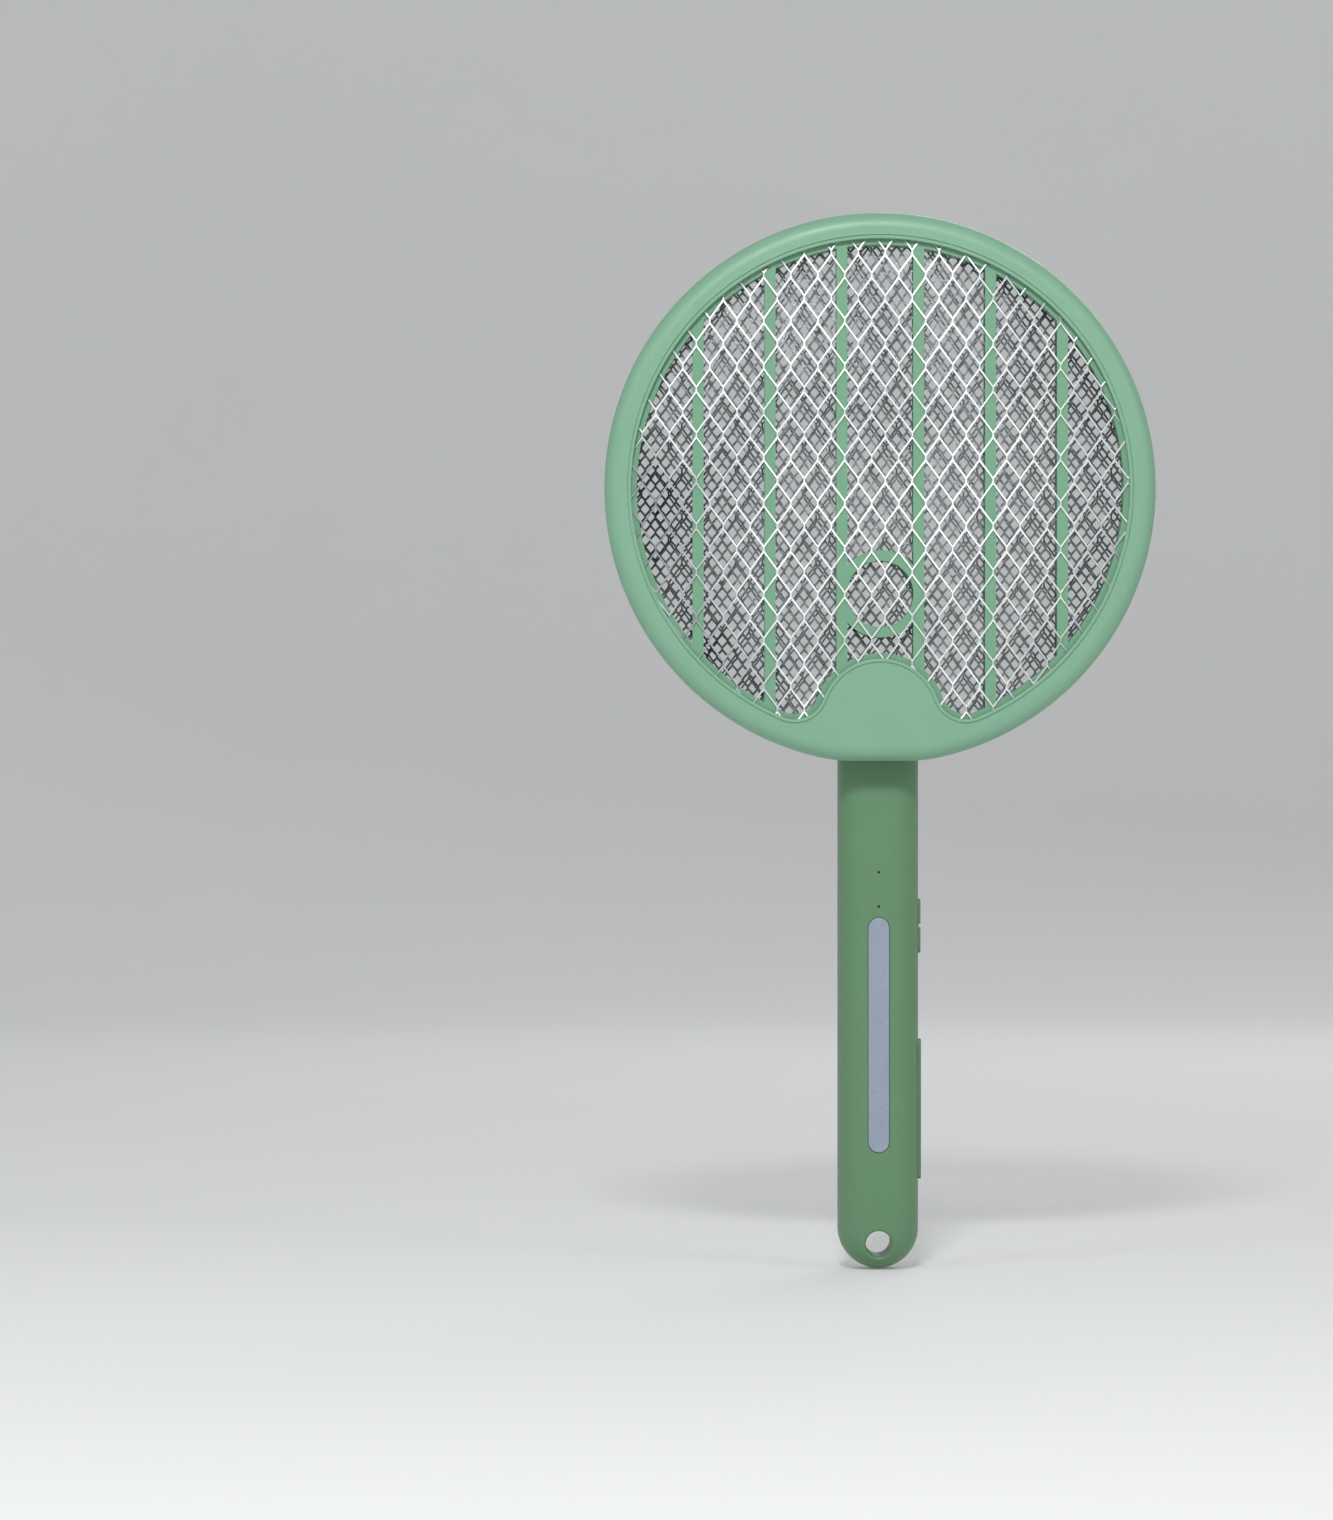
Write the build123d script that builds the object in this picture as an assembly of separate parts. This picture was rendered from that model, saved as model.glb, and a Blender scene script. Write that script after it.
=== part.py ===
from build123d import *
from math import ceil, cos, hypot, radians, sin, sqrt
import os

# Folding electric insect swatter with a lamp in its handle.
# Millimetres. X to the right, Z up along the handle, the face of the head and the lamp look to -Y.
# Origin: axis of the hang hole, at mid thickness of the handle. Drawn unfolded.

# ---------------------------------------------------------------- driving dimensions: handle
cell_radius = 9.1             # the cell sets how wide and how deep the handle is
cell_side_room = 7.1
cell_depth_room = 8.8
handle_width = 2 * (cell_radius + cell_side_room)
handle_depth = 2 * cell_radius + cell_depth_room
handle_round = 11.0           # rounding of the long edges, front and back
handle_wall = 2.0
pivot_to_end = 227.0          # swivel axis to the lower end of the handle
hang_hole_radius = 5.2
hang_hole_inset = 10.3        # hole axis to the lower end
hang_tube_wall = 2.0
hang_hole_ease = 1.0          # rounding of the hole's mouths

# ---------------------------------------------------------------- driving dimensions: head
head_radius = 110.0
head_depth = 18.0
pivot_drop = head_radius - 24.0   # centre of the head down to the swivel axis
rim_width = 10.8              # seen from the front
rim_round = 6.0               # rounding of the rim's outer edges
rim_wall = 2.0
chin_flat = 1.2               # the bottom of the circle is flattened by this much
chin_blend = 60.0
tongue_radius = 24.2          # round top of the cover over the swivel
tongue_drop = head_radius - 17.8  # centre of that round top, below the centre of the head
tongue_blend = 12.0           # hollow corners between the cover and the rim
bead_width = 1.25             # raised lip along the inner edge of the rim
groove_width = 0.45
groove_depth = 0.4
lip_ease = 0.5
stack_edge = 1.7              # how far the nets reach under the rim's lip
stack_fit = 0.2
skirt_wall = 1.5
hoop_band = 2.2               # width of the grille's hoop left in view
rib_width = 4.4
rib_depth = 2.4
rib_middle = 15.3             # the two middle ribs, off the head's upright axis
rib_pitch = 28.65
ribs_per_side = 3
bull_drop = head_radius - 67.8    # ring that ties the two middle ribs, below the centre of the head
bull_hole_radius = 13.2
bull_radius = 17.4
coarse_long = 18.2            # expanded metal: long and short way of one diamond
coarse_short = 10.75
coarse_strand = 0.8
net_sheet = 0.6
net_border = 1.0
kill_sheet = 0.2              # the fine live net, as a plain sheet that holds the same metal
rim_screw_count = 8
rim_screw_span = 300.0        # degrees of rim that carry screws, centred on the top

# ---------------------------------------------------------------- driving dimensions: swivel
swivel_gap = 0.5              # back of the head to the front of the handle
turntable_plate = 4.0
hub_radius = 7.0
hub_bore_radius = hub_radius - 2.0
hub_flange_radius = hub_radius + 4.0
hub_flange = 2.0
hub_pad = 5.0                 # thickness of the head's back wall around the hub
hub_pad_radius = hub_flange_radius + 0.5
running_fit = 0.05            # radial clearance of the hub in the turntable
stop_pin_radius = 1.5
stop_radius = hub_radius + 5.0    # swivel axis to the stop pin
turntable_radius = stop_radius + stop_pin_radius + 1.3
stop_gap = 0.3
stop_depth = 1.9              # how far the pin reaches into the turntable
friction_washer = 0.8
spring_washer_radius = hub_radius + 3.4
spring_washer = 0.5
spring_washer_rise = 0.55
ring_thickness = 0.8
ring_radius = hub_radius + 2.0
ring_groove = 0.75
ring_opening = 3.2

# ---------------------------------------------------------------- driving dimensions: lamp and controls
lamp_window_width = 8.9
lamp_window_length = 94.8
lamp_centre = 94.2            # this and the next heights are measured from the handle's lower end
lamp_fit = 0.15
lamp_flange = 0.7
lamp_sink = 0.2
lamp_wall = 1.4
lamp_ease = 0.4
led_count = 6
led_pitch = 14.5
led_width = 3.5
led_length = 2.8
led_height = 1.3
led_cup_radius = 1.1
pinhole_radius = 0.5
pinhole_heights = (145.8, 159.6)
key_length = 56.4
key_width = 9.0
key_proud = 1.2
key_centre = 64.1
key_travel = 1.0
slider_length = 21.8
slider_width = 7.0
slider_proud = 1.0
slider_centre = 137.85
slider_travel = 2.0           # each way from the middle position
slider_notch = 1.4
slider_notch_depth = 0.8
control_corner = 1.7
control_ease = 0.4
control_gap = 0.3             # key and slider in their openings
retaining_lip = 1.8           # how far their inner flanges reach past the openings
flange_thickness = 1.0
usb_centre = 109.6
usb_width = 8.94
usb_height = 3.2
usb_length = 7.3
usb_metal = 0.3
usb_sink = 1.9                # mouth of the socket behind the handle's side

# ---------------------------------------------------------------- driving dimensions: inside the handle
board_thickness = 1.6
board_width = handle_width - 16.0
board_bottom = 84.8
board_top = pivot_to_end - 18.7
lamp_board_thickness = 1.0
lamp_board_width = 12.0
lamp_board_sink = 5.1         # front of the handle to the front of the lamp board
lamp_board_margin = 2.7       # past the lamp's lower end and the upper pinhole
cell_length = 49.5
cell_bottom = 28.8
cell_back_gap = 0.1
cell_ease = 0.8
cell_button = 0.8
cell_button_radius = 3.2
wire_radius = 0.6
shell_boss_radius = 2.4
shell_screw_radius = 1.1
shell_screw_head_radius = 2.0
shell_screw_head = 1.6
shell_screw_length = 13.0
shell_screw_seat = 7.0        # height of the screw heads' seat behind the parting plane
small_screw_radius = 1.0
small_screw_head_radius = 1.8
small_screw_head = 1.2
cross_length = 2.2            # cross recess in the screw heads
cross_width = 0.5
cross_depth = 0.7
thread_fit = 0.05
hole_fit = 0.2
blind_room = 0.5              # past the tip of a screw
merge = 0.2                   # how far a boss or post reaches into the wall that it stands on
shell_screw_low = 22.8        # above the hang hole
shell_screw_heights = (81.3, 160.3, pivot_to_end - 12.7)
post_radius = 0.9             # posts that carry the boards
turntable_ring = 3.5          # height of the collar around the washers
rail_width = 1.0
saddle_shares = (0.2, 0.8)    # where the cell's two saddles stand, along the cell
saddle_thickness = 1.6
saddle_gap = 0.4
socket_tongue = 0.7
diode_pitch = 4.5
chip_leg_pitch = 1.27
link_pin_count = 4
link_pin_pitch = 2.0
link_pin_width = 0.6
tab_thickness = 0.3
tab_half_width = 3.0

# ---------------------------------------------------------------- places that follow
handle_end_z = -hang_hole_inset
pivot_z = handle_end_z + pivot_to_end
head_z = pivot_z + pivot_drop
handle_front_y = -handle_depth / 2
handle_side_x = handle_width / 2
head_back_y = handle_front_y - swivel_gap
head_front_y = head_back_y - head_depth
head_middle_y = (head_back_y + head_front_y) / 2
window_radius = head_radius - rim_width
cavity_front_y = handle_front_y + handle_wall
cavity_side_x = handle_side_x - handle_wall
turntable_back_y = handle_front_y + turntable_plate
board_front_y = usb_height / 2
board_back_y = board_front_y + board_thickness
lamp_board_front = handle_front_y + lamp_board_sink
lamp_board_back_y = lamp_board_front + lamp_board_thickness
cell_centre_y = -cavity_front_y - cell_radius - cell_back_gap
net_front_y = head_front_y + rim_wall
grille_front_y = net_front_y + net_sheet
kill_front_y = head_middle_y - kill_sheet / 2
rear_net_y = head_back_y - rim_wall - net_sheet
hub_seat_y = head_back_y - hub_pad
hub_front_y = hub_seat_y - hub_flange
spring_front_y = turntable_back_y + running_fit + friction_washer
ring_front_y = spring_front_y + spring_washer + spring_washer_rise
hub_end_y = ring_front_y + ring_thickness + 1.2


def up(height):
    """Height above the handle's lower end, as a z."""
    return handle_end_z + height


def slab(sketch, y_front, y_back):
    """Extrude a sketch drawn in x and z between two depths."""
    return extrude(Plane.XZ.offset(-y_back) * sketch, amount=y_back - y_front)


def rod(radius, x, z, y_front, y_back):
    """Round bar along y."""
    return slab(Pos(x, z) * Circle(radius), y_front, y_back)


def block(x_low, x_high, y_low, y_high, z_low, z_high):
    """Box between two corners."""
    size = (x_high - x_low, y_high - y_low, z_high - z_low)
    middle = ((x_low + x_high) / 2, (y_low + y_high) / 2, (z_low + z_high) / 2)
    return Pos(*middle) * Box(*size)


def side_prism(length, width, corner, x_low, x_high, z):
    """Rounded bar that runs along x, long way up, centred on the parting plane."""
    shape = RectangleRounded(width, length, corner)
    return extrude(Plane.YZ.offset(x_low) * Pos(0, z) * shape, amount=x_high - x_low)


def edges_at(solid, y):
    """Edges that lie in one plane across the depth."""
    return solid.edges().filter_by_position(Axis.Y, y - 0.001, y + 0.001)


def wire(points, bend):
    """Insulated wire along straight runs and tangent bends."""
    path = FilletPolyline(*points, radius=bend)
    profile = Plane(origin=path @ 0, z_dir=path % 0) * Circle(wire_radius)
    return sweep(profile, path=path)


# ---------------------------------------------------------------- outlines of the head
def head_outline(inset=0):
    """Circle with a flat chin, drawn about the centre of the head."""
    radius = head_radius - inset
    below = Pos(0, chin_flat - 1.5 * radius) * Rectangle(2 * radius, radius)
    disc = Circle(radius) - below
    return fillet(disc.vertices(), chin_blend)


def window_face(grow=0):
    """The round window of the rim, cut in at the bottom by the tongue. Grow moves its edge out."""
    radius = window_radius + grow
    tongue = tongue_radius - grow
    blend = tongue_blend + grow
    corner_reach = window_radius - tongue_blend
    tongue_reach = tongue_radius + tongue_blend
    corner_z = (tongue_reach**2 - tongue_drop**2 - corner_reach**2) / (2 * tongue_drop)
    corner_x = sqrt(corner_reach**2 - corner_z**2)
    corner = Vector(corner_x, corner_z)
    to_rim = corner.normalized()
    to_tongue = (Vector(0, -tongue_drop) - corner).normalized()
    rim_point = corner + to_rim * blend
    middle_point = corner + (to_rim + to_tongue).normalized() * blend
    tongue_point = corner + to_tongue * blend
    flip = lambda point: Vector(-point.X, point.Y)
    outline = [
        ThreePointArc(rim_point, (0, radius), flip(rim_point)),
        ThreePointArc(flip(rim_point), flip(middle_point), flip(tongue_point)),
        ThreePointArc(flip(tongue_point), (0, tongue - tongue_drop), tongue_point),
        ThreePointArc(tongue_point, middle_point, rim_point),
    ]
    return make_face(outline)


def head_slab(sketch, y_front, y_back):
    """Slab drawn about the centre of the head."""
    return slab(Pos(0, head_z) * sketch, y_front, y_back)


def rim_screw_places():
    """Centres of the rim's screws, in the hollow between its skirt and its outer wall."""
    skirt_radius = window_radius + stack_edge + stack_fit + skirt_wall
    radius = (skirt_radius + head_radius - rim_wall) / 2
    step = rim_screw_span / (rim_screw_count - 1)
    angles = [90 - rim_screw_span / 2 + i * step for i in range(rim_screw_count)]
    return [(radius * cos(radians(a)), head_z + radius * sin(radians(a))) for a in angles]


# ---------------------------------------------------------------- head
def rim_half():
    """Front half of the rim and tongue: a hollow moulding around the window."""
    outside = head_slab(head_outline(), head_front_y, head_middle_y)
    outside = fillet(edges_at(outside, head_front_y), rim_round)
    hollow = head_slab(head_outline(rim_wall), head_front_y + rim_wall, head_middle_y)
    hollow = fillet(edges_at(hollow, head_front_y + rim_wall), rim_round - rim_wall)
    skirt_inside = stack_edge + stack_fit
    hollow -= head_slab(window_face(skirt_inside + skirt_wall), head_front_y, head_middle_y)
    half = outside - hollow
    half -= head_slab(window_face(), head_front_y, head_middle_y)
    mouth = [e for e in edges_at(half, head_front_y)
             if hypot((e @ 0.5).X, (e @ 0.5).Z - head_z) < window_radius + bead_width / 2]
    half = fillet(mouth, lip_ease)
    half -= head_slab(window_face(skirt_inside), net_front_y, head_middle_y)
    groove = window_face(bead_width + groove_width) - window_face(bead_width)
    half -= head_slab(groove, head_front_y, head_front_y + groove_depth)
    boss_radius = (head_radius - rim_wall - window_radius - skirt_inside - skirt_wall + merge) / 2
    for x, z in rim_screw_places():
        half += rod(boss_radius, x, z, net_front_y - merge, head_middle_y)
    tab_notch = block(-tab_span, tab_span, net_front_y, head_middle_y,
                      tab_end_z, head_z - tongue_drop + tongue_radius)
    return half - tab_notch


def rim_back(half):
    """Mirror of a front half."""
    return half.mirror(Plane.XZ.offset(-head_middle_y))


def front_rim(half):
    """Front moulding, with blind holes for the rim's screws."""
    rim = half
    for x, z in rim_screw_places():
        rim -= rod(small_screw_radius + thread_fit, x, z, rim_screw_tip_y - blind_room, head_middle_y)
    return rim


def rear_rim(half):
    """Back moulding, with the pad of the swivel, the stop pin's seat and sunk screw holes."""
    rim = rim_back(half)
    rim += rod(hub_pad_radius, 0, pivot_z, hub_seat_y, head_back_y)
    rim += rod(2 * stop_pin_radius, 0, pivot_z - stop_radius, hub_seat_y, head_back_y)
    rim -= rod(hub_radius + hole_fit / 2, 0, pivot_z, hub_front_y, head_back_y)
    rim -= rod(stop_pin_radius + thread_fit, 0, pivot_z - stop_radius, hub_seat_y, head_back_y)
    for x, z in hub_screw_places():
        rim -= rod(small_screw_radius + thread_fit, x, z, hub_seat_y, hub_screw_tip_y + blind_room)
    for x, z in rim_screw_places():
        rim -= rod(small_screw_radius + hole_fit, x, z, head_middle_y, head_back_y)
        rim -= rod(small_screw_head_radius + hole_fit, x, z, rim_screw_seat_y, head_back_y)
    return rim


def grille():
    """Front grille: hoop, upright ribs and the ring that ties the two middle ribs."""
    hoop = window_face(stack_edge) - window_face(-hoop_band)
    ribs = Sketch()
    for i in range(ribs_per_side):
        for side in (-1, 1):
            x = side * (rib_middle + i * rib_pitch)
            ribs += Pos(x, 0) * Rectangle(rib_width, 2 * head_radius)
    ribs += Pos(0, -bull_drop) * Circle(bull_radius)
    ribs -= Pos(0, -bull_drop) * Circle(bull_hole_radius)
    ribs &= window_face(-hoop_band / 2)
    bars = head_slab(ribs, grille_front_y, grille_front_y + rib_depth)
    return head_slab(hoop, grille_front_y, kill_front_y) + bars


def expanded_sheet(node_x, node_rise, y_front):
    """Net of expanded metal: a sheet with diamond holes, cut to the window and left with a border.

    One crossing of its strands lies at node_x, and node_rise above the middle of the ring.
    """
    reach = window_radius + stack_edge
    room = window_face(stack_edge - net_border)
    node_z = node_rise - bull_drop
    half_x = coarse_short / 2
    half_z = coarse_long / 2
    shrink = 1 - coarse_strand / 2 * hypot(half_x, half_z) / (half_x * half_z)
    diamond = Polygon((half_x * shrink, 0), (0, half_z * shrink),
                      (-half_x * shrink, 0), (0, -half_z * shrink))
    columns = ceil(reach / half_x) + 1
    rows = ceil((reach + abs(node_z)) / half_z) + 1
    holes = []
    for i in range(-columns, columns + 1):
        for j in range(-rows, rows + 1):
            x = node_x + i * half_x
            z = node_z + j * half_z
            tongue_gap = hypot(x, z + tongue_drop) - tongue_radius - 2 * tongue_blend
            if (i + j) % 2 == 0 or hypot(x, z) > reach + half_z:
                continue
            hole = Pos(x, z) * diamond
            if hypot(x, z) > reach - 2 * net_border - half_z or tongue_gap < half_z:
                hole = hole & room
            holes += [face.outer_wire() for face in hole.faces() if face.area > coarse_strand**2]
    sheet = Face(window_face(stack_edge).faces()[0].outer_wire(), holes)
    return head_slab(sheet, y_front, y_front + net_sheet)


def kill_mesh():
    """Live net between the two grilles."""
    return head_slab(window_face(stack_edge), kill_front_y, kill_front_y + kill_sheet)


def contact_tabs():
    """One solder tab on each net, in the notch behind the tongue."""
    tabs = []
    for place, (y, thickness) in enumerate(net_layers):
        x = (place - 1) * tab_pitch
        tab = block(x - tab_width / 2, x + tab_width / 2, y, y + thickness,
                    tab_end_z + tab_room, head_z - tongue_drop + tongue_radius)
        tabs.append(tab - head_slab(window_face(stack_edge), head_front_y, head_back_y))
    return tabs


def net_wires():
    """Wires from the three nets through the hollow hub."""
    wires = []
    for place, (y, thickness) in enumerate(net_layers):
        tab_x = (place - 1) * tab_pitch
        hub_x = (place - 1) * hub_wire_pitch
        start_y = y + thickness if y < wire_run_y else y
        start_z = tab_end_z + tab_room + 2 * wire_radius
        wires.append(wire([(tab_x, start_y, start_z), (tab_x, wire_run_y, start_z),
                           (hub_x, wire_run_y, pivot_z), (hub_x, wire_meet_y - wire_meet_gap, pivot_z)],
                          2 * wire_radius))
    return wires


def rim_screws():
    """Screws that close the rim from behind."""
    screws = []
    for x, z in rim_screw_places():
        shank = rod(small_screw_radius, x, z, rim_screw_tip_y, rim_screw_seat_y)
        head = rod(small_screw_head_radius, x, z, rim_screw_seat_y, rim_screw_seat_y + small_screw_head)
        screws.append(shank + cross_cut(head, x, z, rim_screw_seat_y + small_screw_head))
    return screws


def cross_cut(head, x, z, y_top):
    """Screw head with a cross recess, open to the back."""
    for width, height in ((cross_length, cross_width), (cross_width, cross_length)):
        head -= slab(Pos(x, z) * Rectangle(width, height), y_top - cross_depth, y_top)
    return head


# ---------------------------------------------------------------- swivel
def hub_screw_places():
    """Three screws around the hub's flange, clear of the stop pin."""
    radius = (hub_radius + hub_flange_radius) / 2
    return [(radius * cos(radians(a)), pivot_z + radius * sin(radians(a))) for a in (90, 210, 330)]


def swivel_hub():
    """Hollow hub: flange in the head, tube through the turntable, groove for the retaining ring."""
    hub = rod(hub_flange_radius, 0, pivot_z, hub_front_y, hub_seat_y)
    hub += rod(hub_radius, 0, pivot_z, hub_seat_y, hub_end_y)
    hub -= rod(hub_bore_radius, 0, pivot_z, hub_front_y, hub_end_y)
    for x, z in hub_screw_places():
        hub -= rod(small_screw_radius + hole_fit / 2, x, z, hub_front_y, hub_seat_y)
    groove = rod(hub_radius, 0, pivot_z, ring_front_y, ring_front_y + ring_thickness)
    groove -= rod(hub_radius - ring_groove, 0, pivot_z, ring_front_y, ring_front_y + ring_thickness)
    return hub - groove


def hub_screws():
    """Screws that hold the hub's flange on its pad."""
    screws = []
    for x, z in hub_screw_places():
        shank = rod(small_screw_radius, x, z, hub_front_y, hub_screw_tip_y)
        head = rod(small_screw_head_radius, x, z, hub_front_y - small_screw_head, hub_front_y)
        screws.append(shank + head)
    return screws


def stop_pin():
    """Steel pin that runs in the turntable's half-round groove."""
    tip_y = handle_front_y + stop_depth
    pin = rod(stop_pin_radius, 0, pivot_z - stop_radius, hub_seat_y, tip_y)
    return chamfer(edges_at(pin, tip_y), stop_gap)


def washer(outer, inner, y_front, thickness):
    """Flat ring around the hub."""
    y_back = y_front + thickness
    return rod(outer, 0, pivot_z, y_front, y_back) - rod(inner, 0, pivot_z, y_front, y_back)


def curved_washer():
    """Spring washer bent to part of a cylinder whose axis lies along x."""
    half = spring_washer_radius
    bend_radius = (half**2 + spring_washer_rise**2) / (2 * spring_washer_rise)
    axis_y = spring_front_y + bend_radius
    bow = Circle(bend_radius) - Circle(bend_radius - spring_washer)
    sheet = extrude(Plane.YZ.offset(-half) * Pos(axis_y, pivot_z) * bow, amount=2 * half)
    ring = washer(half, hub_radius + hole_fit, spring_front_y, spring_washer + spring_washer_rise)
    return sheet & ring


def retaining_ring():
    """Open ring snapped into the hub's groove."""
    ring = washer(ring_radius, hub_radius - ring_groove + thread_fit, ring_front_y, ring_thickness)
    opening = block(-ring_opening / 2, ring_opening / 2, ring_front_y, ring_front_y + ring_thickness,
                    pivot_z - 2 * ring_radius, pivot_z)
    return ring - opening


# ---------------------------------------------------------------- handle
def handle_solid(grow=0):
    """Full handle shape: round-ended bar with rounded long edges."""
    low_z = handle_end_z + handle_side_x
    plan = SlotCenterToCenter(pivot_z - low_z, handle_width + 2 * grow, rotation=90)
    front = handle_front_y - grow
    bar = slab(Pos(0, (pivot_z + low_z) / 2) * plan, front, -front)
    return fillet(edges_at(bar, front) + edges_at(bar, -front), handle_round + grow)


def handle_body():
    """Handle shape with the hang hole through it, its mouths rounded."""
    body = handle_solid() - rod(hang_hole_radius, 0, 0, handle_front_y, -handle_front_y)
    mouths = [e for e in body.edges() if on_hang_hole(e @ 0) and on_hang_hole(e @ 0.5)
              and abs((e @ 0).Y - (e @ 1).Y) < handle_depth / 4]
    return fillet(mouths, hang_hole_ease)


def on_hang_hole(point):
    """True for a point on the wall of the hang hole."""
    return abs(hypot(point.X, point.Z) - hang_hole_radius) < 0.01


def half_space(front):
    """Box that keeps the front or the back half of the handle."""
    reach = handle_width
    y_low, y_high = (-reach, 0) if front else (0, reach)
    return block(-reach, reach, y_low, y_high, handle_end_z - reach, pivot_z + reach)


def shell_screw_places():
    """One screw above the hang hole, one beside the cell, two beside and two above the boards."""
    side = cavity_side_x - shell_boss_radius - 3 * merge
    low, middle, high = [up(height) for height in shell_screw_heights]
    return [(0, up(shell_screw_low)), (-side, low), (side, middle), (-side, middle),
            (side, high), (-side, high)]


def shell_half(front):
    """One half of the hollow handle, with its hang tube, screw bosses and control openings."""
    outside = handle_body()
    shell = outside - handle_solid(-handle_wall)
    shell += rod(hang_hole_radius + hang_tube_wall, 0, 0, handle_front_y, -handle_front_y) & outside
    for x, z in shell_screw_places():
        shell += rod(shell_boss_radius, x, z, handle_front_y, -handle_front_y) & outside
    key_mouth = (key_length + 2 * control_gap, key_width + 2 * control_gap)
    shell -= side_prism(*key_mouth, control_corner + control_gap, side_cut_low_x, side_cut_high_x,
                        up(key_centre))
    slider_mouth = (slider_length + 2 * slider_travel + 2 * control_gap, slider_width + 2 * control_gap)
    shell -= side_prism(*slider_mouth, control_corner + control_gap, side_cut_low_x, side_cut_high_x,
                        up(slider_centre))
    usb_mouth = (usb_width + 2 * control_gap, usb_height + 2 * control_gap)
    shell -= side_prism(*usb_mouth, usb_corner + control_gap, side_cut_low_x, side_cut_high_x, up(usb_centre))
    return shell & half_space(front)


def handle_front_shell():
    """Front half: lamp window, pinholes, turntable, board posts and cell saddles."""
    shell = shell_half(True)
    inside = handle_solid(-handle_wall) & half_space(True)
    shell += rod(turntable_radius, 0, pivot_z, handle_front_y, turntable_back_y)
    shell += washer(turntable_radius, turntable_radius - handle_wall, turntable_back_y, turntable_ring)
    shell -= rod(hub_radius + running_fit, 0, pivot_z, handle_front_y, turntable_back_y)
    shell -= rod(spring_washer_radius + hole_fit, 0, pivot_z, turntable_back_y, 0)
    shell -= stop_groove()
    window = SlotOverall(lamp_window_length, lamp_window_width, rotation=90)
    shell -= slab(Pos(0, up(lamp_centre)) * window, handle_front_y, cavity_front_y)
    for height in pinhole_heights:
        shell -= rod(pinhole_radius, 0, up(height), handle_front_y, cavity_front_y)
    for z in main_post_z:
        for x in (post_radius - board_width / 2, board_width / 2 - post_radius):
            shell += rod(post_radius, x, z, cavity_front_y - merge, board_front_y) & inside
    for z in lamp_post_z:
        for x in (post_radius - lamp_board_width / 2, lamp_board_width / 2 - post_radius):
            shell += rod(post_radius, x, z, cavity_front_y - merge, lamp_board_front)
    for saddle in cell_saddles(inside):
        shell += saddle
    for x, z in shell_screw_places():
        tip_y = shell_screw_seat - shell_screw_length
        shell -= rod(shell_screw_radius + thread_fit, x, z, tip_y - blind_room, 0)
    return shell


def handle_rear_shell():
    """Back half: sunk screw holes, board rails and cell saddles."""
    shell = shell_half(False)
    inside = handle_solid(-handle_wall) & half_space(False)
    for x in ((rail_width - board_width) / 2, (board_width - rail_width) / 2):
        rail = block(x - rail_width / 2, x + rail_width / 2, board_back_y, -cavity_front_y,
                     main_post_z[0], main_post_z[-1])
        shell += rail & inside
    for saddle in cell_saddles(inside):
        shell += saddle
    for x, z in shell_screw_places():
        shell -= rod(shell_screw_radius + hole_fit, x, z, 0, shell_screw_seat)
        shell -= rod(shell_screw_head_radius + hole_fit, x, z, shell_screw_seat, -handle_front_y)
    return shell


def cell_saddles(inside):
    """Two cross ribs that follow the cell, clear of the key's flange and of the lamp board."""
    saddles = []
    clear_x = cell_wire_x - wire_radius - control_gap
    seat = Pos(0, cell_centre_y, up(cell_bottom)) * Cylinder(cell_radius + thread_fit, 3 * cell_length)
    slot = block(-lamp_board_width / 2 - saddle_gap, lamp_board_width / 2 + saddle_gap, -handle_depth, 0,
                 handle_end_z, pivot_z)
    for share in saddle_shares:
        z = up(cell_bottom + share * cell_length)
        rib = block(-cavity_side_x, clear_x, -handle_depth, handle_depth, z - saddle_thickness / 2,
                    z + saddle_thickness / 2)
        saddles.append((rib & inside) - seat - slot)
    return saddles


def stop_groove():
    """Half-round groove that lets the stop pin travel half a turn."""
    half_width = stop_pin_radius + stop_gap
    band = Circle(stop_radius + half_width) - Circle(stop_radius - half_width)
    band &= Pos(stop_radius, 0) * Rectangle(2 * stop_radius, 3 * stop_radius)
    band += Pos(0, stop_radius) * Circle(half_width)
    band += Pos(0, -stop_radius) * Circle(half_width)
    return slab(Pos(0, pivot_z) * band, handle_front_y, handle_front_y + stop_depth + stop_gap)


def handle_screws():
    """Screws that close the handle from behind."""
    screws = []
    for x, z in shell_screw_places():
        top_y = shell_screw_seat + shell_screw_head
        shank = rod(shell_screw_radius, x, z, shell_screw_seat - shell_screw_length, shell_screw_seat)
        head = rod(shell_screw_head_radius, x, z, shell_screw_seat, top_y)
        screws.append(shank + cross_cut(head, x, z, top_y))
    return screws


# ---------------------------------------------------------------- lamp
def lamp_diffuser():
    """Frosted cover of the lamp: a raised stadium in the window, on a wider flange inside."""
    lens = SlotOverall(lamp_window_length - 2 * lamp_fit, lamp_window_width - 2 * lamp_fit, rotation=90)
    flange = SlotOverall(lamp_window_length + 2 * lamp_flange, lamp_window_width + 2 * lamp_flange,
                         rotation=90)
    cover = slab(Pos(0, up(lamp_centre)) * lens, handle_front_y + lamp_sink, cavity_front_y)
    cover += slab(Pos(0, up(lamp_centre)) * flange, cavity_front_y, cavity_front_y + lamp_flange)
    hollow = SlotOverall(lamp_window_length - 2 * lamp_wall, lamp_window_width - 2 * lamp_wall, rotation=90)
    cover -= slab(Pos(0, up(lamp_centre)) * hollow, handle_front_y + lamp_wall, cavity_front_y + lamp_flange)
    return fillet(edges_at(cover, handle_front_y + lamp_sink), lamp_ease)


def lamp_board():
    """Long narrow board behind the lamp and the pinholes."""
    return block(-lamp_board_width / 2, lamp_board_width / 2, lamp_board_front, lamp_board_back_y,
                 lamp_board_low, up(pinhole_heights[1]) + lamp_board_margin)


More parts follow.
